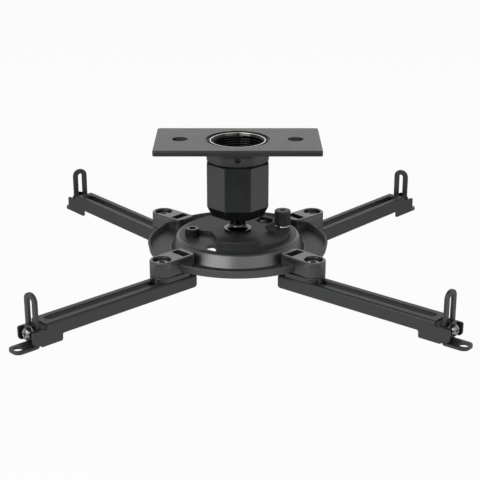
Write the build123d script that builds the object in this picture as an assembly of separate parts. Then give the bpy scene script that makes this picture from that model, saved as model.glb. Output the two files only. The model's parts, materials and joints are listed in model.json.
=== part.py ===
from build123d import *

import os
from dataclasses import dataclass
from math import acos, atan2, cos, degrees, radians, sin, sqrt, tan

# Projector ceiling mount: a flush ceiling plate, a pipe-threaded tube, an eight-sided locking sleeve
# round a ball joint, and a round cast hub that carries four pivoting, sliding arms with slotted
# L-brackets. Millimetres. Origin: centre of the ceiling plate's top face. +Z is up, -Y is the front.

# Clearances
FIT = 0.1
RUN_GAP = 0.3
FACE_GAP = 0.1
BALL_GAP = 0.25

# Ceiling plate and its collar
PLATE_W = 145.5
PLATE_D = 77.5
PLATE_T = 4.8
PLATE_CORNER_R = 2.5
PLATE_EDGE_R = 1.2
FIXING_SPACING = 101.6
FIXING_HOLE_R = 6.9
COLLAR_H = 13.5
COLLAR_WALL = 2.5
COLLAR_FLARE = 4.0
COLLAR_EDGE = 0.6
PLATE_MOUTH_STEP = 2.9
PLATE_MOUTH_DEPTH = 1.5
PLATE_MOUTH_CONE_H = 2.9
SET_SCREW_R = 2.5
SET_SCREW_DROP = 7.1
SET_SCREW_RECESS = 1.4
SET_SCREW_KEY = 2.5
SET_SCREW_KEY_DEPTH = 0.7

# Pipe-threaded tube, bored for a 1 1/2 inch pipe thread
THREAD_BORE_R = 22.6
THREAD_LEAD = 1.1
THREAD_LEAD_H = 2.2
TUBE_WALL = 2.4
TUBE_TOP_DROP = 0.6
TUBE_RIM_EDGE = 0.4
SHOULDER_T = 3.0
SHOULDER_W = 8.6
SOCKET_WALL = 2.2

# Eight-sided locking sleeve
SLEEVE_SIDES = 8
SLEEVE_WALL = 1.9
SLEEVE_H = 49.0
SLEEVE_TOP_GAP = 0.7
SLEEVE_BEVEL_H = 9.2
SLEEVE_BEVEL_IN = 4.4
SLEEVE_EDGE_R = 3.0
SLEEVE_TOP_EDGE = 0.6
LIP_HOLD = 2.8
LIP_T = 5.1

# Ball joint
BALL_R = 17.0
TILT_LIMIT = 15.0
TILT_SPARE = 2.0
STEM_R = 7.0
STUD_LENGTH = 31.0
FLANGE_T = 2.2
FLANGE_ROUND = 4.8
FLANGE_LIP = 0.4
LINER_T = 1.0
LINER_SPREAD = 35.0
SEAT_SPREAD = 57.0
SEAT_TOP_T = 3.0
STUD_SCREW_R = 3.0
STUD_SCREW_LENGTH = 16.0
STUD_SCREW_KEY = 4.0

# Quick-release base plate
BASE_R = 47.5
BASE_T = 3.5
BASE_EDGE_R = 0.8
BASE_GRIP_W = 37.0
BASE_GRIP_D = 10.5
BASE_GRIP_H = 7.8
BASE_GRIP_CORNER_R = 3.5
BASE_CUT_INNER_X = -24.0
BASE_CUT_INNER_Y = -5.0
BASE_CUT_FRONT_X = -16.5
BASE_CUT_FRONT_Y = -29.0
BASE_CUT_RIM_X = -20.0
BASE_TAB_SET = 13.0
BASE_TAB_T = 2.0
BASE_TAB_FOOT_W = 6.2
BASE_TAB_TOP_W = 9.6
BASE_TAB_H = 8.7
BASE_TAB_LOW_H = 4.6
BASE_WINDOW_KNOB_GAP = 1.1
BASE_WINDOW_FRONT_W = 2.5
BASE_WINDOW_FRONT_Y = -3.0
BASE_WINDOW_SIDE_Y = 21.5
BASE_WINDOW_FAR = (-18.6, 28.2)
BASE_WINDOW_LEFT = (-24.7, 16.6)
BASE_WINDOW_CORNER_R = 1.0

# Locating bolt and thumb screw, opposite each other on the hub floor
ANCHOR_SETBACK = 6.2
ANCHOR_BEARING = 11.2
ANCHOR_SHANK_R = 4.0
ANCHOR_SHANK_LENGTH = 8.0
ANCHOR_BOSS_WALL = 3.0
BOLT_HEAD_R = 6.4
BOLT_HEAD_H = 7.7
BOLT_KEY = 6.0
HEAD_CHAMFER = 0.6
KNOB_R = 7.3
KNOB_H = 13.6
KNOB_EDGE_R = 0.8
KNOB_FLUTES = 24
KNOB_FLUTE_R = 0.5
KNOB_RECESS_R = 2.4
KNOB_RECESS_DEPTH = 1.5
KNOB_RING_INSET = 0.8
KNOB_RING_T = 2.0
KNOB_RING_EDGE_R = 0.9

# Cast hub: a flat-topped crown in a shallow pan
CROWN_MARGIN = 7.2
CROWN_SLOPE = 5.8
CROWN_SHOULDER_R = 4.0
CROWN_WALL = 3.8
FLOOR_T = 3.0
PAN_WIDTH = 20.5
PAN_WALL = 2.2
PAN_SHEET = 1.5
PAN_DRAFT = 1.2
PAN_RIM_DROP = 5.6
PAN_BOTTOM_DROP = 12.7
OPENING_POINTS = ((-26.5, -42.5), (-26.7, -33.2), (-21.4, -30.7), (-19.0, -35.0), (-19.0, -47.4))
OPENING_CORNER_R = 1.0

# Ears that carry the arms: how far each pair's pivots stand out past the pan, and their bearing from
# the X axis
EAR_FRONT_OVERHANG = 10.6
EAR_FRONT_BEARING = 45.1
EAR_BACK_OVERHANG = 14.6
EAR_BACK_BEARING = 42.5
EAR_WALL = 2.7
EAR_LENGTH = 31.0
EAR_INNER_R = 5.5
EAR_TOP_DROP = 0.8
EAR_FOOT_H = 1.8
EAR_EDGE_R = 0.9
EAR_FOOT_EDGE = 0.5
COUNTERBORE_EDGE = 0.5
HEAD_GAP = 1.4
HEAD_SINK = 2.6
POCKET_W = 8.2
POCKET_WALL = 2.6
POCKET_SETBACK = 21.8
POCKET_DEPTH = 7.5
POCKET_CORNER_R = 0.8

# Pivot screws, clamp pads and slide nuts
PIVOT_SHANK_R = 4.0
PIVOT_HEAD_R = 6.5
PIVOT_HEAD_H = 4.6
PIVOT_KEY = 5.0
PIVOT_END = 1.5
PAD_T = 4.4
PAD_INSET = 0.2
PAD_EDGE_R = 0.8
PAD_REACH = 26.0
PAD_INNER_R = 5.5
NUT_T = 5.0
NUT_L = 14.0

# Arms: folded channels with a long slot
ARM_W = 21.5
ARM_H = 11.8
ARM_SHEET = 1.7
ARM_BEND_R = 2.4
ARM_TAIL = 30.0
ARM_TAIL_R = 2.6
ARM_REACH = 134.4
ARM_END_DROP = 6.2
ARM_END_LENGTH = 21.4
ARM_STEP_R = 1.6
ARM_WINDOW = 5.5
ARM_WINDOW_DROP = 4.0
ARM_LIP = 4.2
ARM_LIP_RISE = 2.2
ARM_LIP_TOP_R = 1.5
ARM_LIP_FOOT_R = 3.5
SLOT_TAIL_WEB = 8.0
SLOT_END_WEB = 5.0
BACK_SLOT_LEFT = 3.7

# Angle of each arm in plan, measured from the X axis towards the arm's own corner
ANGLE_FRONT_LEFT = 43.7
ANGLE_FRONT_RIGHT = 39.8
ANGLE_BACK_LEFT = 50.8
ANGLE_BACK_RIGHT = 48.5

# L-brackets and their screws
BRACKET_T = 2.4
BRACKET_SIDE_GAP = 1.45
BRACKET_RISE = 25.5
BRACKET_BEND_R = 2.8
BRACKET_TOP_FLAT = 1.2
BRACKET_SLOT_MARGIN = 4.4
BRACKET_SLOT_FOOT = 4.5
FOOT_RISE = 0.4
FOOT_HOLE_REACH = 14.7
FOOT_HOLE_R = 4.2
FOOT_MARGIN = 5.8
FOOT_END_FLAT = 4.2
CLAMP_SHANK_R = 2.5
CLAMP_DROP = 7.7
CLAMP_HEAD_R = 4.7
CLAMP_HEAD_H = 3.2
CLAMP_HEAD_EDGE_R = 1.9
CLAMP_KEY_W = 1.2
CLAMP_KEY_L = 5.2
CLAMP_KEY_DEPTH = 1.6
WASHER_R = 8.0
WASHER_T = 1.4
WASHER_EDGE = 0.4
CLAMP_NUT_FLATS = 8.0
CLAMP_NUT_T = 4.0
CLAMP_TAIL = 1.2

# Radii and widths that follow from the sizes above
TUBE_R = THREAD_BORE_R + TUBE_WALL
SOCKET_R = TUBE_R - SOCKET_WALL
COLLAR_BORE_R = TUBE_R + FIT
COLLAR_R = COLLAR_BORE_R + COLLAR_WALL
SLEEVE_BORE_R = TUBE_R + RUN_GAP
SLEEVE_APOTHEM = SLEEVE_BORE_R + SLEEVE_WALL
LINER_IN_R = BALL_R + BALL_GAP
LINER_OUT_R = LINER_IN_R + LINER_T
SEAT_IN_R = LINER_OUT_R + BALL_GAP
SEAT_R = SOCKET_R - RUN_GAP
CAVITY_R = BALL_R + RUN_GAP
LIP_BORE_R = BALL_R - LIP_HOLD
BALL_HEIGHT = LIP_T + sqrt(CAVITY_R ** 2 - LIP_BORE_R ** 2)
FLANGE_R = STEM_R + FLANGE_ROUND + FLANGE_LIP
ANCHOR_R = BASE_R - ANCHOR_SETBACK
ANCHOR_X = ANCHOR_R * cos(radians(ANCHOR_BEARING))
ANCHOR_Y = ANCHOR_R * sin(radians(ANCHOR_BEARING))
ANCHOR_BOSS_R = ANCHOR_SHANK_R + RUN_GAP + ANCHOR_BOSS_WALL
CROWN_TOP_R = BASE_R + CROWN_MARGIN
CROWN_R = CROWN_TOP_R + CROWN_SLOPE
CAVITY_TOP_R = CROWN_TOP_R + CROWN_SLOPE * FLOOR_T / (PAN_BOTTOM_DROP - PAN_SHEET) - CROWN_WALL
PAN_R = CROWN_R + PAN_WIDTH
COUNTERBORE_R = PIVOT_HEAD_R + HEAD_GAP
EAR_HALF_W = COUNTERBORE_R + EAR_WALL
PAD_HALF_W = ARM_W / 2 - PAD_INSET
ARM_INNER_W = ARM_W - 2 * ARM_SHEET
ARM_INNER_R = ARM_BEND_R - ARM_SHEET
NUT_W = ARM_INNER_W - 2 * RUN_GAP
SLOT_W = 2 * (PIVOT_SHANK_R + RUN_GAP)
BRACKET_W = ARM_INNER_W - 2 * BRACKET_SIDE_GAP
BRACKET_TOP_R = (BRACKET_W - BRACKET_TOP_FLAT) / 2
FOOT_CORNER_R = (BRACKET_W - FOOT_END_FLAT) / 2
BRACKET_SLOT_W = 2 * (CLAMP_SHANK_R + RUN_GAP)

# Levels, from the ceiling down
COLLAR_BOTTOM = -PLATE_T - COLLAR_H
SLEEVE_TOP = COLLAR_BOTTOM - SLEEVE_TOP_GAP
SLEEVE_BOTTOM = SLEEVE_TOP - SLEEVE_H
FACET_BOTTOM = SLEEVE_BOTTOM + SLEEVE_BEVEL_H
BALL_Z = SLEEVE_BOTTOM + BALL_HEIGHT
SEAT_TOP = BALL_Z + SEAT_IN_R + SEAT_TOP_T
SEAT_BOTTOM = BALL_Z + SEAT_IN_R * cos(radians(SEAT_SPREAD))
SHOULDER_BOTTOM = SEAT_TOP + RUN_GAP
SHOULDER_TOP = SHOULDER_BOTTOM + SHOULDER_T
TUBE_BOTTOM = SEAT_BOTTOM - RUN_GAP
SLEEVE_STEP = TUBE_BOTTOM - RUN_GAP
BASE_TOP = BALL_Z - STUD_LENGTH
FLANGE_TOP = BASE_TOP + FLANGE_T
FLOOR_Z = BASE_TOP - BASE_T
ANCHOR_END = FLOOR_Z - ANCHOR_SHANK_LENGTH
FLOOR_BOTTOM = FLOOR_Z - FLOOR_T
PAN_RIM = FLOOR_Z - PAN_RIM_DROP
PAN_BOTTOM = FLOOR_Z - PAN_BOTTOM_DROP
PAN_FLOOR = PAN_BOTTOM + PAN_SHEET
EAR_TOP = FLOOR_Z - EAR_TOP_DROP
EAR_BOTTOM = PAN_BOTTOM - EAR_FOOT_H
HEAD_SEAT = EAR_TOP - HEAD_SINK - PIVOT_HEAD_H - FACE_GAP
PAD_TOP = EAR_BOTTOM - FACE_GAP
PAD_BOTTOM = PAD_TOP - PAD_T
ARM_TOP = PAD_BOTTOM - FACE_GAP
ARM_CEILING = ARM_TOP - ARM_SHEET
ARM_BOTTOM = ARM_TOP - ARM_H
ARM_END_BOTTOM = ARM_BOTTOM - ARM_END_DROP
LIP_BOTTOM = ARM_END_BOTTOM + ARM_LIP_RISE
WINDOW_TOP = ARM_TOP - ARM_WINDOW_DROP
NUT_TOP = ARM_CEILING - FACE_GAP
NUT_BOTTOM = NUT_TOP - NUT_T
CLAMP_Z = ARM_TOP - CLAMP_DROP
BRACKET_TOP = ARM_TOP + BRACKET_RISE
FOOT_TOP = ARM_END_BOTTOM + FOOT_RISE
FOOT_BOTTOM = FOOT_TOP - BRACKET_T

# Along an arm, measured from its pivot with the arm at its front setting
UPRIGHT_OUTER = ARM_REACH + BRACKET_T / 2
UPRIGHT_INNER = ARM_REACH - BRACKET_T / 2
WEB_INNER = UPRIGHT_OUTER + FACE_GAP
WEB_OUTER = WEB_INNER + ARM_SHEET
ARM_END = WEB_OUTER + ARM_LIP
WINDOW_START = UPRIGHT_INNER - ARM_WINDOW
SLOT_START = -ARM_TAIL + SLOT_TAIL_WEB
SLOT_END = WINDOW_START - SLOT_END_WEB
STEP_X = ARM_REACH - ARM_END_LENGTH
FOOT_HOLE_X = ARM_REACH + FOOT_HOLE_REACH
FOOT_END = FOOT_HOLE_X + FOOT_MARGIN
BACK_EXTENSION = -SLOT_START - SLOT_W / 2 - BACK_SLOT_LEFT


@dataclass(frozen=True)
class Corner:
    """One corner of the spider: its side (-1 left) and end (-1 front), its ear, and its arm's setting."""

    name: str
    side: int
    end: int
    overhang: float
    bearing: float
    arm_angle: float
    extension: float

    def heading(self, angle):
        """Plan direction, in degrees from +X, of an angle measured towards this corner."""
        return degrees(atan2(self.end * sin(radians(angle)), self.side * cos(radians(angle))))

    def pivot(self):
        """Plan position of the ear's screw."""
        reach = PAN_R + self.overhang
        turn = radians(self.heading(self.bearing))
        return reach * cos(turn), reach * sin(turn)

    def ear_frame(self):
        """Frame at the pivot with X pointing straight out from the hub's axis."""
        return Pos(*self.pivot(), 0) * Rot(0, 0, self.heading(self.bearing))

    def pivot_frame(self):
        """Frame at the pivot with X along the arm."""
        return Pos(*self.pivot(), 0) * Rot(0, 0, self.heading(self.arm_angle))

    def arm_frame(self):
        """Frame that moves with the arm as it is drawn out along its slot."""
        return self.pivot_frame() * Pos(self.extension, 0, 0)


CORNERS = (
    Corner("front_left", -1, -1, EAR_FRONT_OVERHANG, EAR_FRONT_BEARING, ANGLE_FRONT_LEFT, 0.0),
    Corner("front_right", 1, -1, EAR_FRONT_OVERHANG, EAR_FRONT_BEARING, ANGLE_FRONT_RIGHT, 0.0),
    Corner("back_left", -1, 1, EAR_BACK_OVERHANG, EAR_BACK_BEARING, ANGLE_BACK_LEFT, BACK_EXTENSION),
    Corner("back_right", 1, 1, EAR_BACK_OVERHANG, EAR_BACK_BEARING, ANGLE_BACK_RIGHT, BACK_EXTENSION),
)


# Shared shapes
def rod(radius, bottom, top, x=0.0, y=0.0):
    """Upright cylinder between two levels."""
    return Pos(x, y, bottom) * Cylinder(radius, top - bottom, align=(Align.CENTER, Align.CENTER, Align.MIN))


def block(x_low, x_high, width, bottom, top):
    """Box along X, centred on Y."""
    aligned = (Align.MIN, Align.CENTER, Align.MIN)
    return Pos(x_low, 0, bottom) * Box(x_high - x_low, width, top - bottom, align=aligned)


def turned(*edges):
    """Solid of revolution about Z from edges drawn as radius and height."""
    return revolve(Plane.XZ * make_face(Curve() + list(edges)), Axis.Z)


def hex_key(flats, bottom, top):
    """Hexagonal prism on the Z axis, used for nuts and to cut key sockets."""
    return Pos(0, 0, bottom) * extrude(RegularPolygon(flats / 2, 6, major_radius=False), top - bottom)


def top_face(shape):
    """Highest face of a shape."""
    return shape.faces().sort_by(Axis.Z)[-1]


def edges_at(shape, axis, x):
    """Edges along one axis that lie at one X position."""
    return [edge for edge in shape.edges().filter_by(axis) if abs(edge.center().X - x) < FIT]


# Ceiling side
def ceiling_plate():
    """Flat plate with rounded corners and a flared collar underneath, one casting."""
    plate = Pos(0, 0, -PLATE_T) * extrude(RectangleRounded(PLATE_W, PLATE_D, PLATE_CORNER_R), PLATE_T)
    plate = fillet(top_face(plate).outer_wire().edges(), PLATE_EDGE_R)
    root_r = COLLAR_R + COLLAR_FLARE
    wall_z = COLLAR_BOTTOM + COLLAR_EDGE
    collar = turned(
        TangentArc((COLLAR_R, wall_z), (root_r, -PLATE_T), tangent=(0, 1)),
        Polyline((root_r, -PLATE_T), (root_r, -PLATE_T / 2), (0, -PLATE_T / 2), (0, COLLAR_BOTTOM),
                 (COLLAR_R - COLLAR_EDGE, COLLAR_BOTTOM), (COLLAR_R, wall_z)),
    )
    mouth_r = COLLAR_BORE_R + PLATE_MOUTH_STEP
    cone_bottom = -PLATE_MOUTH_DEPTH - PLATE_MOUTH_CONE_H
    bore = turned(Polyline(
        (0, 0), (mouth_r, 0), (mouth_r, -PLATE_MOUTH_DEPTH), (COLLAR_BORE_R, cone_bottom),
        (COLLAR_BORE_R, COLLAR_BOTTOM), (0, COLLAR_BOTTOM), (0, 0)))
    casting = plate + collar - bore
    for side in (-1, 1):
        casting -= rod(FIXING_HOLE_R, -PLATE_T, 0, x=side * FIXING_SPACING / 2)
    return casting - set_screw_axis() * rod(SET_SCREW_R + FIT, TUBE_R, root_r)


def set_screw_axis():
    """Frame of the collar's set screw: Z points out through the front of the collar."""
    return Pos(0, 0, -PLATE_T - SET_SCREW_DROP) * Rot(90, 0, 0)


def set_screw():
    """Headless screw that grips the tube through the collar."""
    outer = COLLAR_R - SET_SCREW_RECESS
    key = hex_key(SET_SCREW_KEY, outer - SET_SCREW_KEY_DEPTH, outer)
    return set_screw_axis() * (rod(SET_SCREW_R, COLLAR_BORE_R, outer) - key)


def threaded_tube():
    """Pipe socket: threaded bore above, a shoulder, and the housing for the ball's upper seat below."""
    top = -TUBE_TOP_DROP
    shoulder_r = THREAD_BORE_R - SHOULDER_W
    return turned(Polyline(
        (TUBE_R, TUBE_BOTTOM), (TUBE_R, top - TUBE_RIM_EDGE), (TUBE_R - TUBE_RIM_EDGE, top),
        (THREAD_BORE_R + THREAD_LEAD, top),
        (THREAD_BORE_R, top - THREAD_LEAD_H), (THREAD_BORE_R, SHOULDER_TOP), (shoulder_r, SHOULDER_TOP),
        (shoulder_r, SHOULDER_BOTTOM), (SOCKET_R, SHOULDER_BOTTOM), (SOCKET_R, TUBE_BOTTOM),
        (TUBE_R, TUBE_BOTTOM)))


def locking_sleeve():
    """Eight-sided sleeve that screws up the tube and grips the ball with its lower lip."""
    outline = RegularPolygon(SLEEVE_APOTHEM, SLEEVE_SIDES, major_radius=False, rotation=180 / SLEEVE_SIDES)
    outline = fillet(outline.vertices(), SLEEVE_EDGE_R)
    upper = Pos(0, 0, FACET_BOTTOM) * extrude(outline, SLEEVE_TOP - FACET_BOTTOM)
    upper = chamfer(top_face(upper).edges(), SLEEVE_TOP_EDGE)
    slope = degrees(atan2(SLEEVE_BEVEL_IN, SLEEVE_BEVEL_H))
    lower = extrude(Pos(0, 0, FACET_BOTTOM) * outline, SLEEVE_BEVEL_H, dir=(0, 0, -1), taper=slope)
    swing = radians(TILT_LIMIT * sqrt(2) + TILT_SPARE)
    mouth_r = max(LIP_BORE_R, BALL_HEIGHT * tan(swing) + STEM_R / cos(swing) + RUN_GAP)
    lip_z = SLEEVE_BOTTOM + LIP_T
    hollow = turned(
        Polyline((0, SLEEVE_TOP), (SLEEVE_BORE_R, SLEEVE_TOP), (SLEEVE_BORE_R, SLEEVE_STEP),
                 (CAVITY_R, SLEEVE_STEP), (CAVITY_R, BALL_Z)),
        CenterArc((0, BALL_Z), CAVITY_R, 0, -degrees(acos(LIP_BORE_R / CAVITY_R))),
        Polyline((LIP_BORE_R, lip_z), (mouth_r, SLEEVE_BOTTOM), (0, SLEEVE_BOTTOM), (0, SLEEVE_TOP)),
    )
    return upper + lower - hollow


# Ball joint
def ball_seat():
    """Upper seat that the ball and its liner turn in."""
    return rod(SEAT_R, SEAT_BOTTOM, SEAT_TOP) - Pos(0, 0, BALL_Z) * Sphere(SEAT_IN_R)


def friction_liner():
    """Thin cap of liner between the ball and its upper seat."""
    shell = Sphere(LINER_OUT_R) - Sphere(LINER_IN_R)
    cap = shell & rod(LINER_OUT_R * sin(radians(LINER_SPREAD)), 0, 2 * LINER_OUT_R)
    return Pos(0, 0, BALL_Z) * cap


def ball_stud():
    """Ball, stem and flange turned from one bar."""
    round_r = STEM_R + FLANGE_ROUND
    round_z = FLANGE_TOP + FLANGE_ROUND
    stem = turned(
        Polyline((0, BALL_Z), (STEM_R, BALL_Z), (STEM_R, round_z)),
        CenterArc((round_r, round_z), FLANGE_ROUND, 180, 90),
        Polyline((round_r, FLANGE_TOP), (FLANGE_R, FLANGE_TOP), (FLANGE_R, BASE_TOP), (0, BASE_TOP),
                 (0, BALL_Z)),
    )
    socket = rod(STUD_SCREW_R + FIT, BASE_TOP, FLOOR_Z + STUD_SCREW_LENGTH + FIT)
    return stem + Pos(0, 0, BALL_Z) * Sphere(BALL_R) - socket


def stud_screw():
    """Countersunk screw that holds the base plate up against the stud's flange."""
    low = FLOOR_Z + FACE_GAP
    top = FLOOR_Z + STUD_SCREW_LENGTH
    head_r = STUD_SCREW_R + BASE_TOP - low
    screw = turned(Polyline(
        (0, low), (head_r, low), (STUD_SCREW_R, BASE_TOP), (STUD_SCREW_R, top), (0, top), (0, low)))
    return screw - hex_key(STUD_SCREW_KEY, low, low + BASE_T / 2)


# Base plate
def base_disc():
    """Round plate with an eased rim, cut away at the front left beside the locating bolt."""
    disc = rod(BASE_R, FLOOR_Z, BASE_TOP)
    disc = fillet(top_face(disc).edges(), BASE_EDGE_R)
    notch_r = BOLT_HEAD_R + RUN_GAP
    notch_y = notch_r - ANCHOR_Y
    outside = 2 * BASE_R
    cut = make_face(Polyline(
        (-outside, notch_y), (-ANCHOR_X, notch_y), (BASE_CUT_INNER_X, BASE_CUT_INNER_Y),
        (BASE_CUT_FRONT_X, BASE_CUT_FRONT_Y), (BASE_CUT_RIM_X, -outside), (-outside, -outside), close=True))
    disc -= Pos(0, 0, FLOOR_Z) * extrude(cut, BASE_T)
    return disc - rod(notch_r, FLOOR_Z, BASE_TOP, x=-ANCHOR_X, y=-ANCHOR_Y)


def base_grip():
    """Block at the front of the base plate, for pulling it out of the hub."""
    rim_y = sqrt(BASE_R ** 2 - (BASE_GRIP_W / 2) ** 2)
    outline = Pos(0, -rim_y) * Rectangle(BASE_GRIP_W, 2 * BASE_GRIP_D)
    outline = fillet(outline.vertices().group_by(Axis.Y)[-1], BASE_GRIP_CORNER_R) & Circle(BASE_R)
    grip = Pos(0, 0, FLOOR_Z) * extrude(outline, BASE_GRIP_H)
    return fillet(top_face(grip).edges(), BASE_EDGE_R)


def base_tab():
    """Tab that stands up beside the thumb screw, with one leaning side."""
    right = ANCHOR_X - KNOB_R
    foot = right - BASE_TAB_FOOT_W
    outline = make_face(Polyline(
        (foot, FLOOR_Z), (right, FLOOR_Z), (right, BASE_TOP + BASE_TAB_H),
        (right - BASE_TAB_TOP_W, BASE_TOP + BASE_TAB_LOW_H), (foot, BASE_TOP), close=True))
    return Pos(0, ANCHOR_Y - BASE_TAB_SET, 0) * extrude(Plane.XZ * outline, -BASE_TAB_T)


def base_window():
    """Opening in the base plate, behind the tab and left of the thumb screw."""
    side = -KNOB_R - BASE_WINDOW_KNOB_GAP
    outline = make_face(Polyline(
        (side - BASE_WINDOW_FRONT_W, BASE_WINDOW_FRONT_Y), (side, BASE_WINDOW_FRONT_Y),
        (side, BASE_WINDOW_SIDE_Y), BASE_WINDOW_FAR, BASE_WINDOW_LEFT, close=True))
    outline = fillet(outline.vertices(), BASE_WINDOW_CORNER_R)
    return Pos(ANCHOR_X, ANCHOR_Y, FLOOR_Z) * extrude(outline, BASE_T)


def base_plate():
    """Quick-release plate: a cut-away disc, a front grip block, an upright tab and a window behind it."""
    plate = base_disc() + base_grip() - base_window() + base_tab()
    plate -= rod(ANCHOR_SHANK_R + RUN_GAP, FLOOR_Z, BASE_TOP, x=ANCHOR_X, y=ANCHOR_Y)
    hole_r = STUD_SCREW_R + FACE_GAP
    countersink = turned(Polyline(
        (0, FLOOR_Z), (STUD_SCREW_R + BASE_T, FLOOR_Z), (hole_r, BASE_TOP - FACE_GAP), (hole_r, BASE_TOP),
        (0, BASE_TOP), (0, FLOOR_Z)))
    return plate - countersink


# Anchors on the hub floor
def locating_bolt():
    """Socket-head bolt that locates the base plate's notch."""
    top = FLOOR_Z + BOLT_HEAD_H
    bolt = rod(BOLT_HEAD_R, FLOOR_Z, top)
    bolt = chamfer(top_face(bolt).edges(), HEAD_CHAMFER)
    bolt += rod(ANCHOR_SHANK_R, ANCHOR_END, FLOOR_Z)
    return Pos(-ANCHOR_X, -ANCHOR_Y, 0) * (bolt - hex_key(BOLT_KEY, FLOOR_Z + BOLT_HEAD_H / 2, top))


def knob_ring():
    """Plated washer with a rounded edge, under the thumb screw."""
    top = BASE_TOP + KNOB_RING_T
    ring = rod(KNOB_R - KNOB_RING_INSET, BASE_TOP, top)
    ring = fillet(ring.edges().filter_by(GeomType.CIRCLE), KNOB_RING_EDGE_R)
    return Pos(ANCHOR_X, ANCHOR_Y, 0) * (ring - rod(ANCHOR_SHANK_R + RUN_GAP, BASE_TOP, top))


def thumb_screw():
    """Fluted thumb screw that holds the base plate down on the hub."""
    low = BASE_TOP + KNOB_RING_T + FACE_GAP
    top = low + KNOB_H
    knob = rod(KNOB_R, low, top)
    knob = fillet(knob.edges().filter_by(GeomType.CIRCLE), KNOB_EDGE_R)
    knob -= rod(KNOB_RECESS_R, top - KNOB_RECESS_DEPTH, top)
    knob -= [rod(KNOB_FLUTE_R, low, top - KNOB_EDGE_R, x=place.position.X, y=place.position.Y)
             for place in PolarLocations(KNOB_R, KNOB_FLUTES)]
    return Pos(ANCHOR_X, ANCHOR_Y, 0) * (knob + rod(ANCHOR_SHANK_R, ANCHOR_END, low))


# Hub
def hub_shell():
    """Turned section of the hub: a crown with a sloping wall, in a shallow pan with a thin rim."""
    pan_foot = PAN_R - PAN_DRAFT
    rim_r = PAN_WALL / 2
    rim_z = PAN_RIM - rim_r
    return turned(
        FilletPolyline((0, FLOOR_Z), (CROWN_TOP_R, FLOOR_Z), (CROWN_R, PAN_FLOOR), radius=CROWN_SHOULDER_R),
        Polyline((CROWN_R, PAN_FLOOR), (pan_foot - PAN_WALL, PAN_FLOOR), (PAN_R - PAN_WALL, rim_z)),
        CenterArc((PAN_R - rim_r, rim_z), rim_r, 180, -180),
        Polyline((PAN_R, rim_z), (pan_foot, PAN_BOTTOM), (CROWN_R - CROWN_WALL, PAN_BOTTOM),
                 (CAVITY_TOP_R, FLOOR_BOTTOM), (0, FLOOR_BOTTOM), (0, FLOOR_Z)),
    )


def hub_ear(corner):
    """Ear standing on the pan: round at the screw end, square with eased corners inside."""
    outline = Pos(-EAR_LENGTH / 2, 0) * Rectangle(EAR_LENGTH, 2 * EAR_HALF_W)
    outline = fillet(outline.vertices().group_by(Axis.X)[0], EAR_INNER_R) + Circle(EAR_HALF_W)
    ear = Pos(0, 0, EAR_BOTTOM) * extrude(outline, EAR_TOP - EAR_BOTTOM)
    ear = chamfer(ear.faces().sort_by(Axis.Z)[0].edges(), EAR_FOOT_EDGE)
    return corner.ear_frame() * fillet(top_face(ear).edges(), EAR_EDGE_R)


def hub_ear_cuts(corner):
    """Screw hole, counterbore and the moulded pocket of one ear."""
    edge_z = EAR_TOP - COUNTERBORE_EDGE
    cuts = rod(PIVOT_SHANK_R + RUN_GAP, EAR_BOTTOM, EAR_TOP) + turned(Polyline(
        (0, HEAD_SEAT), (COUNTERBORE_R, HEAD_SEAT), (COUNTERBORE_R, edge_z),
        (COUNTERBORE_R + COUNTERBORE_EDGE, EAR_TOP), (0, EAR_TOP), (0, HEAD_SEAT)))
    pocket = RectangleRounded(POCKET_W, 2 * (EAR_HALF_W - POCKET_WALL), POCKET_CORNER_R)
    cuts += Pos(-POCKET_SETBACK, 0, EAR_TOP - POCKET_DEPTH) * extrude(pocket, POCKET_DEPTH)
    return corner.ear_frame() * cuts


def hub():
    """Round cast hub: a shallow pan, a hollow crown with a flat top, and four ears."""
    casting = hub_shell()
    for side in (-1, 1):
        casting += rod(ANCHOR_BOSS_R, ANCHOR_END, FLOOR_Z, x=side * ANCHOR_X, y=side * ANCHOR_Y)
    for corner in CORNERS:
        casting += hub_ear(corner)
    for corner in CORNERS:
        casting -= hub_ear_cuts(corner)
    for side, gap in ((-1, FIT), (1, RUN_GAP)):
        casting -= rod(ANCHOR_SHANK_R + gap, ANCHOR_END, FLOOR_Z, x=side * ANCHOR_X, y=side * ANCHOR_Y)
    opening = fillet(make_face(Polyline(*OPENING_POINTS, close=True)).vertices(), OPENING_CORNER_R)
    for turn in (0, 180):
        casting -= Pos(0, 0, FLOOR_BOTTOM) * Rot(0, 0, turn) * extrude(opening, FLOOR_T)
    return casting


# Arm pivots
def clamp_pad(corner):
    """Rounded spacer between an ear and its arm."""
    outline = Circle(PAD_HALF_W) + Pos(-PAD_REACH / 2, 0) * Rectangle(PAD_REACH, 2 * PAD_HALF_W)
    outline = fillet(outline.vertices().group_by(Axis.X)[0], PAD_INNER_R)
    pad = Pos(0, 0, PAD_BOTTOM) * extrude(outline, PAD_T)
    pad = fillet(top_face(pad).edges(), PAD_EDGE_R)
    return corner.pivot_frame() * (pad - rod(PIVOT_SHANK_R + FIT, PAD_BOTTOM, PAD_TOP))


def pivot_screw(corner):
    """Low socket-head screw that an arm swings on."""
    low = HEAD_SEAT + FACE_GAP
    top = low + PIVOT_HEAD_H
    screw = rod(PIVOT_HEAD_R, low, top)
    screw = chamfer(top_face(screw).edges(), HEAD_CHAMFER)
    screw += rod(PIVOT_SHANK_R, NUT_BOTTOM - PIVOT_END, low)
    return corner.pivot_frame() * (screw - hex_key(PIVOT_KEY, low + PIVOT_HEAD_H / 2, top))


def slide_nut(corner):
    """Rectangular nut that runs inside the arm's channel, bevelled to clear the channel's bends."""
    nut = block(-NUT_L / 2, NUT_L / 2, NUT_W, NUT_BOTTOM, NUT_TOP)
    nut = chamfer(top_face(nut).edges().filter_by(Axis.X), ARM_INNER_R)
    return corner.pivot_frame() * (nut - rod(PIVOT_SHANK_R + FIT, NUT_BOTTOM, NUT_TOP))


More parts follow.
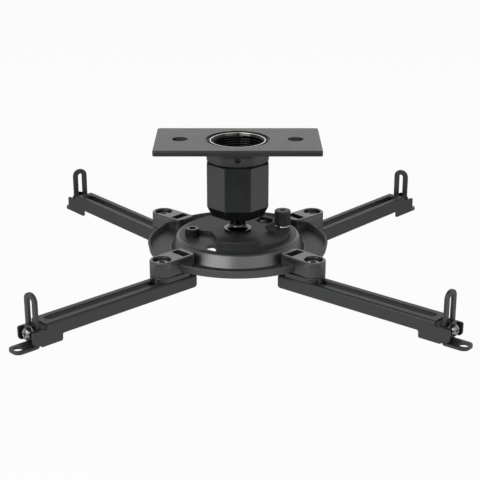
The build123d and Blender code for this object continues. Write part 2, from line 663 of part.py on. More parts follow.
# Arms
def arm_blank():
    """Outside of the folded channel: rounded long edges, walls deeper near the end, then a short lip."""
    side = make_face(Polyline(
        (-ARM_TAIL, ARM_TOP), (WINDOW_START, ARM_TOP), (WINDOW_START, WINDOW_TOP), (ARM_END, WINDOW_TOP),
        (ARM_END, LIP_BOTTOM), (ARM_REACH, LIP_BOTTOM), (ARM_REACH, ARM_END_BOTTOM),
        (STEP_X, ARM_END_BOTTOM), (STEP_X, ARM_BOTTOM), (-ARM_TAIL, ARM_BOTTOM), close=True))
    lip_foot, lip_top = side.vertices().group_by(Axis.X)[-1].sort_by(Axis.Y)
    tail_foot = side.vertices().group_by(Axis.X)[0].sort_by(Axis.Y)[0]
    side = fillet(tail_foot, ARM_TAIL_R)
    side = fillet(side.vertices().sort_by_distance(lip_top)[0], ARM_LIP_TOP_R)
    side = fillet(side.vertices().sort_by_distance(lip_foot)[0], ARM_LIP_FOOT_R)
    side = fillet(side.vertices().filter_by_position(Axis.X, STEP_X - FIT, STEP_X + FIT), ARM_STEP_R)
    side = fillet(side.vertices().group_by(Axis.Y)[0].sort_by(Axis.X)[-1], ARM_STEP_R)
    blank = extrude(Plane.XZ * side, ARM_W / 2, both=True)
    return fillet(top_face(blank).edges().filter_by(Axis.X), ARM_BEND_R)


def arm(corner):
    """Folded channel: long slot on top, open end walls and a cross web for the bracket screw."""
    inside = block(-ARM_TAIL, ARM_END, ARM_INNER_W, ARM_END_BOTTOM, ARM_CEILING)
    inside = fillet(top_face(inside).edges().filter_by(Axis.X), ARM_INNER_R)
    slot = SlotOverall(SLOT_END - SLOT_START, SLOT_W)
    slot = Pos((SLOT_START + SLOT_END) / 2, 0, ARM_CEILING) * extrude(slot, ARM_SHEET)
    web = block(WEB_INNER, WEB_OUTER, ARM_W - ARM_SHEET, LIP_BOTTOM, WINDOW_TOP)
    body = arm_blank() - inside - slot + web
    body -= clamp_axis() * rod(CLAMP_SHANK_R + FIT, WEB_INNER, WEB_OUTER)
    return corner.arm_frame() * body


# Bracket screws
def clamp_axis():
    """Frame of the bracket's clamp screw: Z runs outwards along the arm."""
    return Pos(0, 0, CLAMP_Z) * Rot(0, 90, 0)


def clamp_screw(corner):
    """Pan-head screw with a cross recess, through the end web and the bracket's slot."""
    seat = WEB_OUTER + WASHER_T
    head = rod(CLAMP_HEAD_R, seat, seat + CLAMP_HEAD_H)
    head = fillet(top_face(head).edges(), CLAMP_HEAD_EDGE_R)
    key_z = seat + CLAMP_HEAD_H - CLAMP_KEY_DEPTH
    for length, width in ((CLAMP_KEY_L, CLAMP_KEY_W), (CLAMP_KEY_W, CLAMP_KEY_L)):
        head -= block(-length / 2, length / 2, width, key_z, seat + CLAMP_HEAD_H)
    tail = UPRIGHT_INNER - FACE_GAP - CLAMP_NUT_T - CLAMP_TAIL
    return corner.arm_frame() * clamp_axis() * (head + rod(CLAMP_SHANK_R, tail, seat))


def clamp_washer(corner):
    """Flat washer under the clamp screw's head."""
    top = WEB_OUTER + WASHER_T
    washer = rod(WASHER_R, WEB_OUTER, top)
    washer = chamfer(top_face(washer).edges(), WASHER_EDGE) - rod(CLAMP_SHANK_R + FIT, WEB_OUTER, top)
    return corner.arm_frame() * clamp_axis() * washer


def clamp_nut(corner):
    """Hexagon nut behind the bracket's upright."""
    top = UPRIGHT_INNER - FACE_GAP
    low = top - CLAMP_NUT_T
    nut = hex_key(CLAMP_NUT_FLATS, low, top) - rod(CLAMP_SHANK_R + FIT, low, top)
    return corner.arm_frame() * clamp_axis() * nut


def bracket(corner):
    """L-bracket: slotted upright inside the arm's end and a drilled foot pointing outwards."""
    upright = block(UPRIGHT_INNER, UPRIGHT_OUTER, BRACKET_W, FOOT_BOTTOM, BRACKET_TOP)
    upright = fillet(upright.edges().filter_by(Axis.X).group_by(Axis.Z)[-1], BRACKET_TOP_R)
    foot = block(UPRIGHT_INNER, FOOT_END, BRACKET_W, FOOT_BOTTOM, FOOT_TOP)
    foot = fillet(edges_at(foot, Axis.Z, FOOT_END), FOOT_CORNER_R)
    angle = upright + foot
    heel = ShapeList(edges_at(angle, Axis.Y, UPRIGHT_INNER)).sort_by(Axis.Z)[0]
    angle = fillet(heel, BRACKET_BEND_R)
    slot_top = BRACKET_TOP - BRACKET_SLOT_MARGIN
    slot_bottom = FOOT_TOP + BRACKET_SLOT_FOOT
    slot = SlotOverall(slot_top - slot_bottom, BRACKET_SLOT_W, rotation=90)
    slot = Plane.YZ * Pos(0, (slot_top + slot_bottom) / 2) * slot
    angle -= extrude(Pos(UPRIGHT_INNER, 0, 0) * slot, BRACKET_T)
    angle -= rod(FOOT_HOLE_R, FOOT_BOTTOM, FOOT_TOP, x=FOOT_HOLE_X)
    return corner.arm_frame() * angle


SINGLE_PARTS = (
    ceiling_plate, set_screw, threaded_tube, locking_sleeve, ball_seat, friction_liner, ball_stud,
    stud_screw, base_plate, locating_bolt, knob_ring, thumb_screw, hub,
)
CORNER_PARTS = (
    clamp_pad, pivot_screw, slide_nut, arm, clamp_screw, clamp_washer, clamp_nut, bracket,
)


def main():
    """Write one STEP file for each piece."""
    os.makedirs("parts", exist_ok=True)
    for make in SINGLE_PARTS:
        export_step(make(), f"parts/{make.__name__}.step")
    for make in CORNER_PARTS:
        for corner in CORNERS:
            export_step(make(corner), f"parts/{make.__name__}_{corner.name}.step")


if __name__ == "__main__":
    main()
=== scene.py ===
"""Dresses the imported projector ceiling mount: finishes, pipe thread, studio light and camera."""

import json
import logging
from dataclasses import dataclass, replace
from enum import Enum
from math import cos, radians, sin
from typing import Any, Mapping, Sequence

import bpy
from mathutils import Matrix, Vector

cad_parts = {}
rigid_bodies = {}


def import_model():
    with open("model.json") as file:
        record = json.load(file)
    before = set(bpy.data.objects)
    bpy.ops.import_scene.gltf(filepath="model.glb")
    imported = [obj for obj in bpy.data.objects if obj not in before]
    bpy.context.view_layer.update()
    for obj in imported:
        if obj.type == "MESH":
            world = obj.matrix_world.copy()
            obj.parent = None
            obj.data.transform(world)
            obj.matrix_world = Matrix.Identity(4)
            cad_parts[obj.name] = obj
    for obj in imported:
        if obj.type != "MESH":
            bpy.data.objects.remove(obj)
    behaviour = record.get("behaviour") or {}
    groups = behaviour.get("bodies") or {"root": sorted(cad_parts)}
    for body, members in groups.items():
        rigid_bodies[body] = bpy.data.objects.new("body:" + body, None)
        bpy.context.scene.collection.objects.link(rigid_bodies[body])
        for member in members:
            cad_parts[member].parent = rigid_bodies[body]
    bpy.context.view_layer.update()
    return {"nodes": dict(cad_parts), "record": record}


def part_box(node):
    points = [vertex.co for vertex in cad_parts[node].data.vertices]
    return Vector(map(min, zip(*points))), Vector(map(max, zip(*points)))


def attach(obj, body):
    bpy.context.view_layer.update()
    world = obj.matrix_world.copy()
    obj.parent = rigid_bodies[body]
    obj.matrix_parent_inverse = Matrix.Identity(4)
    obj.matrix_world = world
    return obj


LOG = logging.getLogger("mount")
MM = 0.001
INCH_MM = 25.4

# The sRGB curve.
SRGB_KNEE = 0.04045
SRGB_SLOPE = 12.92
SRGB_OFFSET = 0.055
SRGB_POWER = 2.4

# Colour sockets of Blender's Mix node, by number because their names repeat.
MIX_FACTOR = 0
MIX_COLOUR_A = 6
MIX_COLOUR_B = 7
MIX_COLOUR = 2

# Keeps x and y of a vector.
ACROSS = (1.0, 1.0, 0.0)


class Corner(Enum):
    """The four corners of the spider, by the suffix of their nodes and bodies."""

    FRONT_LEFT = "front_left"
    FRONT_RIGHT = "front_right"
    BACK_LEFT = "back_left"
    BACK_RIGHT = "back_right"


def linear(hex_colour: str) -> tuple[float, float, float, float]:
    """Turns an sRGB hex colour to linear RGBA.

    Args:
        hex_colour: colour as #rrggbb.

    Returns:
        Linear red, green and blue, with an alpha of one.
    """
    channels = [int(hex_colour[i:i + 2], 16) / 255 for i in (1, 3, 5)]
    r, g, b = (
        c / SRGB_SLOPE if c <= SRGB_KNEE else ((c + SRGB_OFFSET) / (1 + SRGB_OFFSET)) ** SRGB_POWER
        for c in channels
    )
    return r, g, b, 1.0


def add_node(
    tree: bpy.types.NodeTree,
    kind: str,
    values: Mapping[str | int, Any] | None = None,
    links: Mapping[str | int, bpy.types.NodeSocket] | None = None,
    **settings: Any,
) -> bpy.types.Node:
    """Adds one node with its settings, socket values and incoming links.

    Args:
        tree: node tree that takes the node.
        kind: Blender's type name of the node.
        values: plain values by input socket name or number.
        links: sources by input socket name or number.
        **settings: attributes of the node itself.

    Returns:
        The new node.
    """
    node = tree.nodes.new(kind)
    for name, value in settings.items():
        setattr(node, name, value)
    for name, value in (values or {}).items():
        node.inputs[name].default_value = value
    for name, source in (links or {}).items():
        tree.links.new(source, node.inputs[name])
    return node


def join(
    tree: bpy.types.NodeTree, operation: str, *terms: bpy.types.NodeSocket | float,
) -> bpy.types.NodeSocket:
    """Joins values by one sum of Blender's Math node.

    Args:
        tree: node tree that takes the sum.
        operation: the sum, by Blender's name.
        *terms: sockets, or plain numbers after the first, in order.

    Returns:
        The joined value.
    """
    total = terms[0]
    for term in terms[1:]:
        node = add_node(tree, "ShaderNodeMath", links={0: total}, operation=operation)
        if isinstance(term, float):
            node.inputs[1].default_value = term
        else:
            tree.links.new(term, node.inputs[1])
        total = node.outputs["Value"]
    return total


def empty_material(name: str) -> tuple[bpy.types.Material, bpy.types.NodeTree]:
    """Makes a node material with an empty tree.

    Args:
        name: name of the material.

    Returns:
        The material and its tree.
    """
    material = bpy.data.materials.new(name)
    material.use_nodes = True
    material.node_tree.nodes.clear()
    return material, material.node_tree


@dataclass(frozen=True)
class RubbedParts:
    """Raised parts of a round casting, rubbed smooth: its crown's wall, and all beyond it above a level.

    The level and the wall's inner and outer radius are in metres.
    """

    level: float
    wall: tuple[float, float]
    roughness: float

    def smooth(
        self, tree: bpy.types.NodeTree, place: bpy.types.NodeSocket, rough: bpy.types.NodeSocket,
    ) -> bpy.types.NodeSocket:
        """Makes the coat glossier on the raised parts.

        Args:
            tree: node tree of the coat.
            place: Object coordinates.
            rough: roughness of the coat elsewhere.

        Returns:
            The roughness all over.
        """
        flat = add_node(tree, "ShaderNodeVectorMath", {1: ACROSS}, {0: place}, operation="MULTIPLY")
        length = add_node(tree, "ShaderNodeVectorMath", links={0: flat.outputs["Vector"]}, operation="LENGTH")
        radius = length.outputs["Value"]
        height = add_node(tree, "ShaderNodeSeparateXYZ", links={"Vector": place}).outputs["Z"]
        high = join(tree, "GREATER_THAN", height, self.level)
        inside = join(tree, "LESS_THAN", radius, self.wall[1])
        outside = join(tree, "GREATER_THAN", radius, self.wall[0])
        raised = join(tree, "MULTIPLY", join(tree, "MAXIMUM", high, inside), outside)
        mix = add_node(tree, "ShaderNodeMix", {"B": self.roughness}, {"Factor": raised, "A": rough})
        return mix.outputs["Result"]


@dataclass(frozen=True)
class CoatedMetal:
    """Baked coat on metal: a soft sheen over a fine orange peel, mottled a little in tone and gloss."""

    name: str
    colour: str
    mottle_colour: str
    roughness: float
    roughness_spread: float
    peel_mm: float
    peel_depth_mm: float
    mottle_mm: float
    ior: float = 1.6
    mottle_detail: float = 3.0
    peel_detail: float = 1.0
    rubbed: RubbedParts | None = None

    def material(self) -> bpy.types.Material:
        """Builds the coat's material."""
        material, tree = empty_material(self.name)
        place = add_node(tree, "ShaderNodeTexCoord").outputs["Object"]
        mottle = add_node(
            tree, "ShaderNodeTexNoise",
            {"Scale": 1 / (self.mottle_mm * MM), "Detail": self.mottle_detail}, {"Vector": place})
        colour = add_node(
            tree, "ShaderNodeMix",
            {MIX_COLOUR_A: linear(self.colour), MIX_COLOUR_B: linear(self.mottle_colour)},
            {MIX_FACTOR: mottle.outputs["Fac"]}, data_type="RGBA")
        gloss = add_node(
            tree, "ShaderNodeMapRange",
            {"To Min": self.roughness - self.roughness_spread,
             "To Max": self.roughness + self.roughness_spread},
            {"Value": mottle.outputs["Fac"]})
        roughness = gloss.outputs["Result"]
        if self.rubbed:
            roughness = self.rubbed.smooth(tree, place, roughness)
        peel = add_node(
            tree, "ShaderNodeTexNoise",
            {"Scale": 1 / (self.peel_mm * MM), "Detail": self.peel_detail}, {"Vector": place})
        bump = add_node(
            tree, "ShaderNodeBump",
            {"Strength": 1.0, "Distance": self.peel_depth_mm * MM}, {"Height": peel.outputs["Fac"]})
        surface = add_node(
            tree, "ShaderNodeBsdfPrincipled", {"IOR": self.ior},
            {"Base Color": colour.outputs[MIX_COLOUR], "Roughness": roughness,
             "Normal": bump.outputs["Normal"]})
        add_node(tree, "ShaderNodeOutputMaterial", links={"Surface": surface.outputs["BSDF"]})
        return material


@dataclass(frozen=True)
class PaintedRimHighlight:
    """Painted highlight on the end of a blackened tube: a paler colour on what is above a level, in metres,
    standing in for the light that the rim's edge catches.
    """

    level: float
    colour: str

    def paint_highlight(
        self, tree: bpy.types.NodeTree, place: bpy.types.NodeSocket, colour: bpy.types.NodeSocket,
    ) -> bpy.types.NodeSocket:
        """Makes the metal paler on the rim.

        Args:
            tree: node tree of the metal.
            Paints the highlight: makes the metal paler on the rim.
            colour: colour of the metal elsewhere.

        Returns:
            The colour all over.
        """
        height = add_node(tree, "ShaderNodeSeparateXYZ", links={"Vector": place}).outputs["Z"]
        high = join(tree, "GREATER_THAN", height, self.level)
        mix = add_node(
            tree, "ShaderNodeMix", {MIX_COLOUR_B: linear(self.colour)},
            {MIX_FACTOR: high, MIX_COLOUR_A: colour}, data_type="RGBA")
        return mix.outputs[MIX_COLOUR]


@dataclass(frozen=True)
class PlatedMetal:
    """Plated or blackened steel: a mirror-like skin with faint tool marks that break up its gloss."""

    name: str
    colour: str
    mark_colour: str
    roughness: float
    roughness_spread: float
    mark_mm: float
    mark_depth_mm: float
    mark_detail: float = 4.0
    rim: PaintedRimHighlight | None = None

    def material(self) -> bpy.types.Material:
        """Builds the metal's material."""
        material, tree = empty_material(self.name)
        place = add_node(tree, "ShaderNodeTexCoord").outputs["Object"]
        marks = add_node(
            tree, "ShaderNodeTexNoise",
            {"Scale": 1 / (self.mark_mm * MM), "Detail": self.mark_detail}, {"Vector": place})
        mix = add_node(
            tree, "ShaderNodeMix",
            {MIX_COLOUR_A: linear(self.colour), MIX_COLOUR_B: linear(self.mark_colour)},
            {MIX_FACTOR: marks.outputs["Fac"]}, data_type="RGBA")
        colour = mix.outputs[MIX_COLOUR]
        # Painted highlight: the rim above a level gets a paler colour.
        if self.rim:
            colour = self.rim.paint_highlight(tree, place, colour)
        gloss = add_node(
            tree, "ShaderNodeMapRange",
            {"To Min": self.roughness - self.roughness_spread,
             "To Max": self.roughness + self.roughness_spread},
            {"Value": marks.outputs["Fac"]})
        bump = add_node(
            tree, "ShaderNodeBump",
            {"Strength": 1.0, "Distance": self.mark_depth_mm * MM}, {"Height": marks.outputs["Fac"]})
        surface = add_node(
            tree, "ShaderNodeBsdfPrincipled", {"Metallic": 1.0},
            {"Base Color": colour, "Roughness": gloss.outputs["Result"], "Normal": bump.outputs["Normal"]})
        add_node(tree, "ShaderNodeOutputMaterial", links={"Surface": surface.outputs["BSDF"]})
        return material


# Black polyester powder coat, sprayed and baked on sheet steel: charcoal, dull, with a fine orange peel.
POWDER_COAT = CoatedMetal(
    "powder_coated_steel", "#181c1a", "#202422", roughness=0.5, roughness_spread=0.04,
    peel_mm=0.9, peel_depth_mm=0.012, mottle_mm=14.0)
# The same coat, baked glossier on the flat ceiling plate: a clear sheen at a low angle.
PLATE_COAT = CoatedMetal(
    "powder_coated_plate", "#181a16", "#20221c", roughness=0.4, roughness_spread=0.04,
    peel_mm=0.9, peel_depth_mm=0.008, mottle_mm=16.0)
# Black enamel on a die casting: a smooth satin skin that follows the casting's soft edges.
CAST_COAT = CoatedMetal(
    "enamelled_casting", "#0e1211", "#151918", roughness=0.26, roughness_spread=0.04,
    peel_mm=1.1, peel_depth_mm=0.01, mottle_mm=11.0)
# The powder coat of the base plate, rubbed by handling: the dullest black, with hardly a sheen.
BASE_COAT = CoatedMetal(
    "powder_coated_base", "#151917", "#1d211f", roughness=0.6, roughness_spread=0.04,
    peel_mm=0.9, peel_depth_mm=0.012, mottle_mm=12.0)
# Dense enamel on the hub: dull as cast in the pan, and bright with the lamps on its rubbed crown and ears.
HUB_COAT = CoatedMetal(
    "enamelled_hub", "#1a1e1c", "#222624", roughness=0.56, roughness_spread=0.04,
    peel_mm=1.1, peel_depth_mm=0.012, mottle_mm=11.0, ior=1.8)
# Moulded acetal: dull black with a waxy sheen.
ACETAL = CoatedMetal(
    "moulded_acetal", "#161616", "#1b1b1b", roughness=0.5, roughness_spread=0.03,
    peel_mm=1.2, peel_depth_mm=0.004, mottle_mm=20.0)
# Black nickel over turned steel: dark and mirror-like.
BLACK_NICKEL = PlatedMetal(
    "black_nickel_plate", "#3a3a3d", "#434347", roughness=0.12, roughness_spread=0.03,
    mark_mm=2.5, mark_depth_mm=0.002)
# Black oxide on screws: dark grey metal with a dry gloss.
BLACK_OXIDE = PlatedMetal(
    "black_oxide_steel", "#3b3b3c", "#484849", roughness=0.34, roughness_spread=0.05,
    mark_mm=1.6, mark_depth_mm=0.006)
# Bright zinc plate: pale grey metal with a clean gloss.
BRIGHT_ZINC = PlatedMetal(
    "bright_zinc_plate", "#c4c5c6", "#d2d3d4", roughness=0.22, roughness_spread=0.04,
    mark_mm=1.8, mark_depth_mm=0.004)
# Blackened steel of the pipe socket: a dark bore whose thread flanks catch the light.
PIPE_STEEL = PlatedMetal(
    "blackened_pipe_steel", "#343633", "#3e403c", roughness=0.16, roughness_spread=0.04,
    mark_mm=2.0, mark_depth_mm=0.004)
# Nickel plate on screws: mid-grey metal with a soft shine.
NICKEL = PlatedMetal(
    "nickel_plate", "#8b8c8f", "#999a9d", roughness=0.24, roughness_spread=0.04,
    mark_mm=1.8, mark_depth_mm=0.004)

Finish = CoatedMetal | PlatedMetal


class FinishShop:
    """Makes each finish's material once and puts it on nodes."""

    def __init__(self) -> None:
        """Starts with no material made."""
        self.made: dict[str, bpy.types.Material] = {}

    def material(self, finish: Finish) -> bpy.types.Material:
        """Gives the material of a finish, made at its first use.

        Args:
            finish: the finish, known by its name.

        Returns:
            Its material.
        """
        if finish.name not in self.made:
            self.made[finish.name] = finish.material()
        return self.made[finish.name]

    def coat(self, objects: Sequence[bpy.types.Object], finish: Finish) -> None:
        """Puts one finish on whole objects.

        Args:
            objects: mesh objects to coat.
            finish: the finish that they get.
        """
        for obj in objects:
            obj.data.materials.clear()
            obj.data.materials.append(self.material(finish))
            LOG.info("%s: %s", obj.name, finish.name)


@dataclass
class PipeThread:
    """Helical ridge of a tapping pipe thread, swept up the inside of a plain bore."""

    bore: Mapping[str, Any]
    threads_per_inch: float = 11.5
    depth_mm: float = 1.1
    root_sink_mm: float = 0.1
    ridge_sides: int = 3
    ridge_height_share: float = 1.5
    steps_per_turn: int = 96

    def tree(self) -> bpy.types.GeometryNodeTree:
        """Builds the node tree: a three-sided ridge swept along a spiral.

        Returns:
            A tree whose inputs are the thread's sizes, in metres, and its material.
        """
        tree = bpy.data.node_groups.new("pipe_thread", "GeometryNodeTree")
        tree.interface.new_socket("Geometry", in_out="OUTPUT", socket_type="NodeSocketGeometry")
        inputs = {
            "Radius": "Float", "Ridge": "Float", "Height": "Float", "Turns": "Float", "Steps": "Int",
            "Bottom": "Vector", "Material": "Material",
        }
        for name, kind in inputs.items():
            tree.interface.new_socket(name, in_out="INPUT", socket_type=f"NodeSocket{kind}")
        given = add_node(tree, "NodeGroupInput").outputs
        spiral = add_node(tree, "GeometryNodeCurveSpiral", links={
            "Resolution": given["Steps"], "Rotations": given["Turns"], "Start Radius": given["Radius"],
            "End Radius": given["Radius"], "Height": given["Height"]})
        upright = add_node(
            tree, "GeometryNodeSetCurveNormal", links={"Curve": spiral.outputs["Curve"]}, mode="Z_UP")
        ridge = add_node(
            tree, "GeometryNodeCurvePrimitiveCircle",
            {"Resolution": self.ridge_sides}, {"Radius": given["Ridge"]})
        sweep = add_node(
            tree, "GeometryNodeCurveToMesh", {"Fill Caps": True},
            {"Curve": upright.outputs["Curve"], "Profile Curve": ridge.outputs["Curve"]})
        placed = add_node(
            tree, "GeometryNodeTransform",
            links={"Geometry": sweep.outputs["Mesh"], "Translation": given["Bottom"]})
        real = add_node(tree, "GeometryNodeRealizeInstances", links={"Geometry": placed.outputs["Geometry"]})
        coated = add_node(
            tree, "GeometryNodeSetMaterial",
            links={"Geometry": real.outputs["Geometry"], "Material": given["Material"]})
        add_node(tree, "NodeGroupOutput", links={"Geometry": coated.outputs["Geometry"]})
        return tree

    def build(self, material: bpy.types.Material) -> bpy.types.Object:
        """Makes the ridge as a plain mesh piece.

        Args:
            material: finish of the tube that the thread is cut in.

        Returns:
            The ridge, at the origin, with its place in its mesh.
        """
        length = self.bore["dims"]["length_mm"]
        ridge = (self.depth_mm + self.root_sink_mm) / self.ridge_height_share
        climb = length - 2 * ridge
        sizes = {
            "Radius": (self.bore["dims"]["r_mm"] + self.root_sink_mm - ridge / 2) * MM,
            "Ridge": ridge * MM,
            "Height": climb * MM,
            "Turns": climb * self.threads_per_inch / INCH_MM,
            "Steps": self.steps_per_turn,
            "Bottom": (0.0, 0.0, self.bore["pos_m"][2] - climb / 2 * MM),
            "Material": material,
        }
        carrier = bpy.data.objects.new("pipe_thread_carrier", bpy.data.meshes.new("pipe_thread_carrier"))
        bpy.context.scene.collection.objects.link(carrier)
        modifier = carrier.modifiers.new("pipe_thread", "NODES")
        modifier.node_group = self.tree()
        for item in modifier.node_group.interface.items_tree:
            if item.in_out == "INPUT":
                modifier[item.identifier] = sizes[item.name]
        view = bpy.context.evaluated_depsgraph_get()
        mesh = bpy.data.meshes.new_from_object(carrier.evaluated_get(view))
        bpy.data.objects.remove(carrier)
        piece = bpy.data.objects.new("pipe_thread_ridge", mesh)
        bpy.context.scene.collection.objects.link(piece)
        return piece


@dataclass
class CeilingSide:
    """Ceiling plate, its set screw and the pipe-threaded tube."""

    record: Mapping[str, Any]
    # Depth and colour of the painted highlight on the tube's rim.
    rim_mm: float = 0.2
    rim_highlight_colour: str = "#a6a7a2"

    def dress(self, nodes: Mapping[str, bpy.types.Object], shop: FinishShop) -> None:
        """Gives the ceiling side its finishes and adds the pipe thread.

        Args:
            nodes: the frame's objects by node.
            shop: maker of the materials.
        """
        shop.coat([nodes["ceiling_plate"]], PLATE_COAT)
        # The tube's rim gets a painted highlight: a paler colour above a level.
        rim = PaintedRimHighlight(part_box("threaded_tube")[1].z - self.rim_mm * MM, self.rim_highlight_colour)
        shop.coat([nodes["threaded_tube"]], replace(PIPE_STEEL, name="pipe_steel_painted_rim_highlight", rim=rim))
        shop.coat([nodes["set_screw"]], BLACK_OXIDE)
        bore = next(mount for mount in self.record["mounts"] if mount["name"] == "pipe_thread")
        ridge = PipeThread(bore).build(shop.material(PIPE_STEEL))
        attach(ridge, "ceiling_mount")
        LOG.info("%s: %d faces", ridge.name, len(ridge.data.polygons))


@dataclass
class BallJoint:
    """Locking sleeve, seat, liner and ball stud."""

    def dress(self, nodes: Mapping[str, bpy.types.Object], shop: FinishShop) -> None:
        """Gives the ball joint its finishes.

        Args:
            nodes: the frame's objects by node.
            shop: maker of the materials.
        """
        shop.coat([nodes["locking_sleeve"]], CAST_COAT)
        shop.coat([nodes["ball_seat"], nodes["friction_liner"]], ACETAL)
        shop.coat([nodes["ball_stud"]], BLACK_NICKEL)
        shop.coat([nodes["stud_screw"]], BLACK_OXIDE)


@dataclass
class HubGroup:
    """Cast hub with the base plate, locating bolt and thumb screw on it."""

    pan_rim_drop_mm: float = 5.6
    crown_wall_mm: tuple[float, float] = (53.0, 61.0)
    raised_roughness: float = 0.32

    def dress(self, nodes: Mapping[str, bpy.types.Object], shop: FinishShop) -> None:
        """Gives the hub and what stands on it their finishes.

        Args:
            nodes: the frame's objects by node.
            shop: maker of the materials.
        """
        rim_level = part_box("hub")[1].z - self.pan_rim_drop_mm * MM
        wall = (self.crown_wall_mm[0] * MM, self.crown_wall_mm[1] * MM)
        raised = RubbedParts(rim_level, wall, self.raised_roughness)
        shop.coat([nodes["hub"]], replace(HUB_COAT, rubbed=raised))
        shop.coat([nodes["base_plate"]], BASE_COAT)
        shop.coat([nodes["thumb_screw"]], POWDER_COAT)
        shop.coat([nodes["locating_bolt"]], BLACK_OXIDE)
        shop.coat([nodes["knob_ring"]], BRIGHT_ZINC)


@dataclass
class Arm:
    """One arm with its pivot, its L-bracket and the bracket's screw."""

    corner: Corner

    def dress(self, nodes: Mapping[str, bpy.types.Object], shop: FinishShop) -> None:
        """Gives the arm and its hardware their finishes.

        Args:
            nodes: the frame's objects by node.
            shop: maker of the materials.
        """
        finishes = {
            "arm": POWDER_COAT, "bracket": POWDER_COAT, "clamp_pad": CAST_COAT, "pivot_screw": NICKEL,
            "slide_nut": BLACK_OXIDE, "clamp_washer": BLACK_NICKEL, "clamp_screw": NICKEL,
            "clamp_nut": NICKEL,
        }
        for kind, finish in finishes.items():
            shop.coat([nodes[f"{kind}_{self.corner.value}"]], finish)


@dataclass(frozen=True)
class Fade:
    """How the surround's whiteness to reflections changes along one axis."""

    axis: str
    span: tuple[float, float]
    level: tuple[float, float]


@dataclass(frozen=True)
class SoftBox:
    """Rectangular lamp that the camera doesn't see: place and size in metres, radiant power in watts."""

    name: str
    place: tuple[float, float, float]
    size: tuple[float, float]
    watts: float

    def build(self, aim: Vector) -> None:
        """Adds the lamp to the scene.

        Args:
            aim: point that it faces.
        """
        data = bpy.data.lights.new(self.name, "AREA")
        data.shape = "RECTANGLE"
        data.size, data.size_y = self.size
        data.energy = self.watts
        lamp = bpy.data.objects.new(self.name, data)
        lamp.location = self.place
        lamp.rotation_euler = (aim - Vector(self.place)).to_track_quat("-Z", "Y").to_euler()
        lamp.visible_camera = False
        bpy.context.scene.collection.objects.link(lamp)


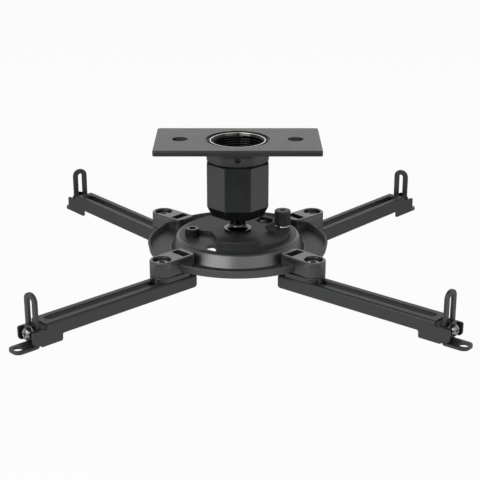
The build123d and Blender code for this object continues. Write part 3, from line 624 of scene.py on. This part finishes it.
@dataclass
class Studio:
    """Plain pale floor, soft boxes and a white surround that is dimmer overhead and behind the camera."""

    floor_z: float = -0.3
    floor_half: float = 6.0
    floor_colour: str = "#f2f2f2"
    floor_lift: float = 0.95
    surround_colour: str = "#ffffff"
    light_strength: float = 0.28
    floor_fades: tuple[Fade, ...] = (
        Fade("Y", (-0.74, -0.5), (0.1, 1.0)),
        Fade("Y", (-0.05, 0.3), (1.0, 0.45)),
    )
    world_fades: tuple[Fade, ...] = (
        Fade("Y", (-0.9, -0.3), (0.32, 0.8)),
        Fade("Z", (0.4, 0.75), (1.0, 0.35)),
    )
    aim: tuple[float, float, float] = (0.0, 0.0, -0.08)
    lamps: tuple[SoftBox, ...] = (
        SoftBox("key_box", (-0.78, -1.06, 0.64), (1.15, 0.8), 12.5),
        SoftBox("fill_box", (0.6, -1.18, 0.6), (1.6, 0.8), 6.0),
        SoftBox("back_box", (0.0, 1.6, 0.62), (1.6, 0.5), 1.8),
    )

    def seen_share(
        self, tree: bpy.types.NodeTree, place: str, fades: Sequence[Fade],
    ) -> tuple[bpy.types.NodeSocket, bpy.types.NodeSocket]:
        """Adds the nodes that tell what the camera and reflections see.

        Args:
            tree: node tree of the floor or the world.
            place: texture coordinate to read, Object for the floor and Generated for the world.
            fades: how the surround darkens to reflections.

        Returns:
            Whether a ray sees the surround, and how white it is to that ray.
        """
        rays = add_node(tree, "ShaderNodeLightPath").outputs
        where = add_node(tree, "ShaderNodeTexCoord").outputs[place]
        split = add_node(tree, "ShaderNodeSeparateXYZ", links={"Vector": where}).outputs
        levels = [
            add_node(tree, "ShaderNodeMapRange",
                     {"From Min": fade.span[0], "From Max": fade.span[1],
                      "To Min": fade.level[0], "To Max": fade.level[1]},
                     {"Value": split[fade.axis]}).outputs["Result"]
            for fade in fades
        ]
        camera = rays["Is Camera Ray"]
        seen = join(tree, "MAXIMUM", camera, rays["Is Glossy Ray"], rays["Is Transmission Ray"])
        white = join(tree, "MAXIMUM", join(tree, "MULTIPLY", *levels), camera)
        return seen, white

    def floor_material(self) -> bpy.types.Material:
        """Builds the floor's material: almost white, with a faint shadow, and clear when seen from below."""
        material, tree = empty_material("matt_white_floor")
        seen, white = self.seen_share(tree, "Object", self.floor_fades)
        share = join(tree, "MULTIPLY", seen, self.floor_lift)
        matt = add_node(tree, "ShaderNodeBsdfDiffuse", {"Color": linear(self.floor_colour)})
        glow = add_node(tree, "ShaderNodeEmission", links={"Strength": white})
        mix = add_node(
            tree, "ShaderNodeMixShader",
            links={0: share, 1: matt.outputs["BSDF"], 2: glow.outputs["Emission"]})
        below = add_node(tree, "ShaderNodeNewGeometry").outputs["Backfacing"]
        clear = add_node(tree, "ShaderNodeBsdfTransparent").outputs["BSDF"]
        sided = add_node(tree, "ShaderNodeMixShader", links={0: below, 1: mix.outputs["Shader"], 2: clear})
        add_node(tree, "ShaderNodeOutputMaterial", links={"Surface": sided.outputs["Shader"]})
        return material

    def floor(self) -> None:
        """Lays the floor."""
        half = self.floor_half
        corners = [(x * half, y * half, self.floor_z) for x, y in ((-1, -1), (1, -1), (1, 1), (-1, 1))]
        mesh = bpy.data.meshes.new("floor")
        mesh.from_pydata(corners, [], [(0, 1, 2, 3)])
        mesh.materials.append(self.floor_material())
        floor = bpy.data.objects.new("floor", mesh)
        bpy.context.scene.collection.objects.link(floor)

    def surround(self) -> None:
        """Sets the surround: white to the camera and in reflections, softer as light."""
        world = bpy.data.worlds.new("white_surround")
        world.use_nodes = True
        tree = world.node_tree
        tree.nodes.clear()
        seen, white = self.seen_share(tree, "Generated", self.world_fades)
        plain = {"Color": linear(self.surround_colour)}
        light = add_node(tree, "ShaderNodeBackground", plain | {"Strength": self.light_strength})
        shown = add_node(tree, "ShaderNodeBackground", plain, {"Strength": white})
        mix = add_node(
            tree, "ShaderNodeMixShader",
            links={0: seen, 1: light.outputs["Background"], 2: shown.outputs["Background"]})
        add_node(tree, "ShaderNodeOutputWorld", links={"Surface": mix.outputs["Shader"]})
        bpy.context.scene.world = world

    def build(self) -> None:
        """Builds floor, surround and lamps."""
        self.floor()
        self.surround()
        for lamp in self.lamps:
            lamp.build(Vector(self.aim))


@dataclass
class PhotoCamera:
    """Camera at the photograph's viewing angle, for a square frame."""

    target: tuple[float, float, float] = (0.002, 0.0, -0.09419)
    distance: float = 1.12468
    pitch_deg: float = 19.87
    focal_px: float = 1244.67
    frame_px: float = 480.0
    sensor_mm: float = 36.0

    def build(self) -> None:
        """Makes the camera and sets it as the scene's."""
        data = bpy.data.cameras.new("photo_camera")
        data.sensor_width = self.sensor_mm
        data.lens = self.sensor_mm * self.focal_px / self.frame_px
        camera = bpy.data.objects.new("photo_camera", data)
        pitch = radians(self.pitch_deg)
        ahead = Vector((0.0, cos(pitch), -sin(pitch)))
        camera.location = Vector(self.target) - ahead * self.distance
        camera.rotation_euler = ahead.to_track_quat("-Z", "Y").to_euler()
        bpy.context.scene.collection.objects.link(camera)
        bpy.context.scene.camera = camera


def main() -> None:
    """Loads the frame, dresses every sub-assembly and sets up the studio."""
    logging.basicConfig(level=logging.INFO, format="%(name)s %(message)s")
    for obj in list(bpy.data.objects):
        bpy.data.objects.remove(obj)
    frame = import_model()
    nodes = frame["nodes"]
    shop = FinishShop()
    CeilingSide(frame["record"]).dress(nodes, shop)
    BallJoint().dress(nodes, shop)
    HubGroup().dress(nodes, shop)
    for corner in Corner:
        Arm(corner).dress(nodes, shop)
    Studio().build()
    PhotoCamera().build()
    bpy.context.scene.view_settings.view_transform = "Standard"


if __name__ == "__main__":
    main()
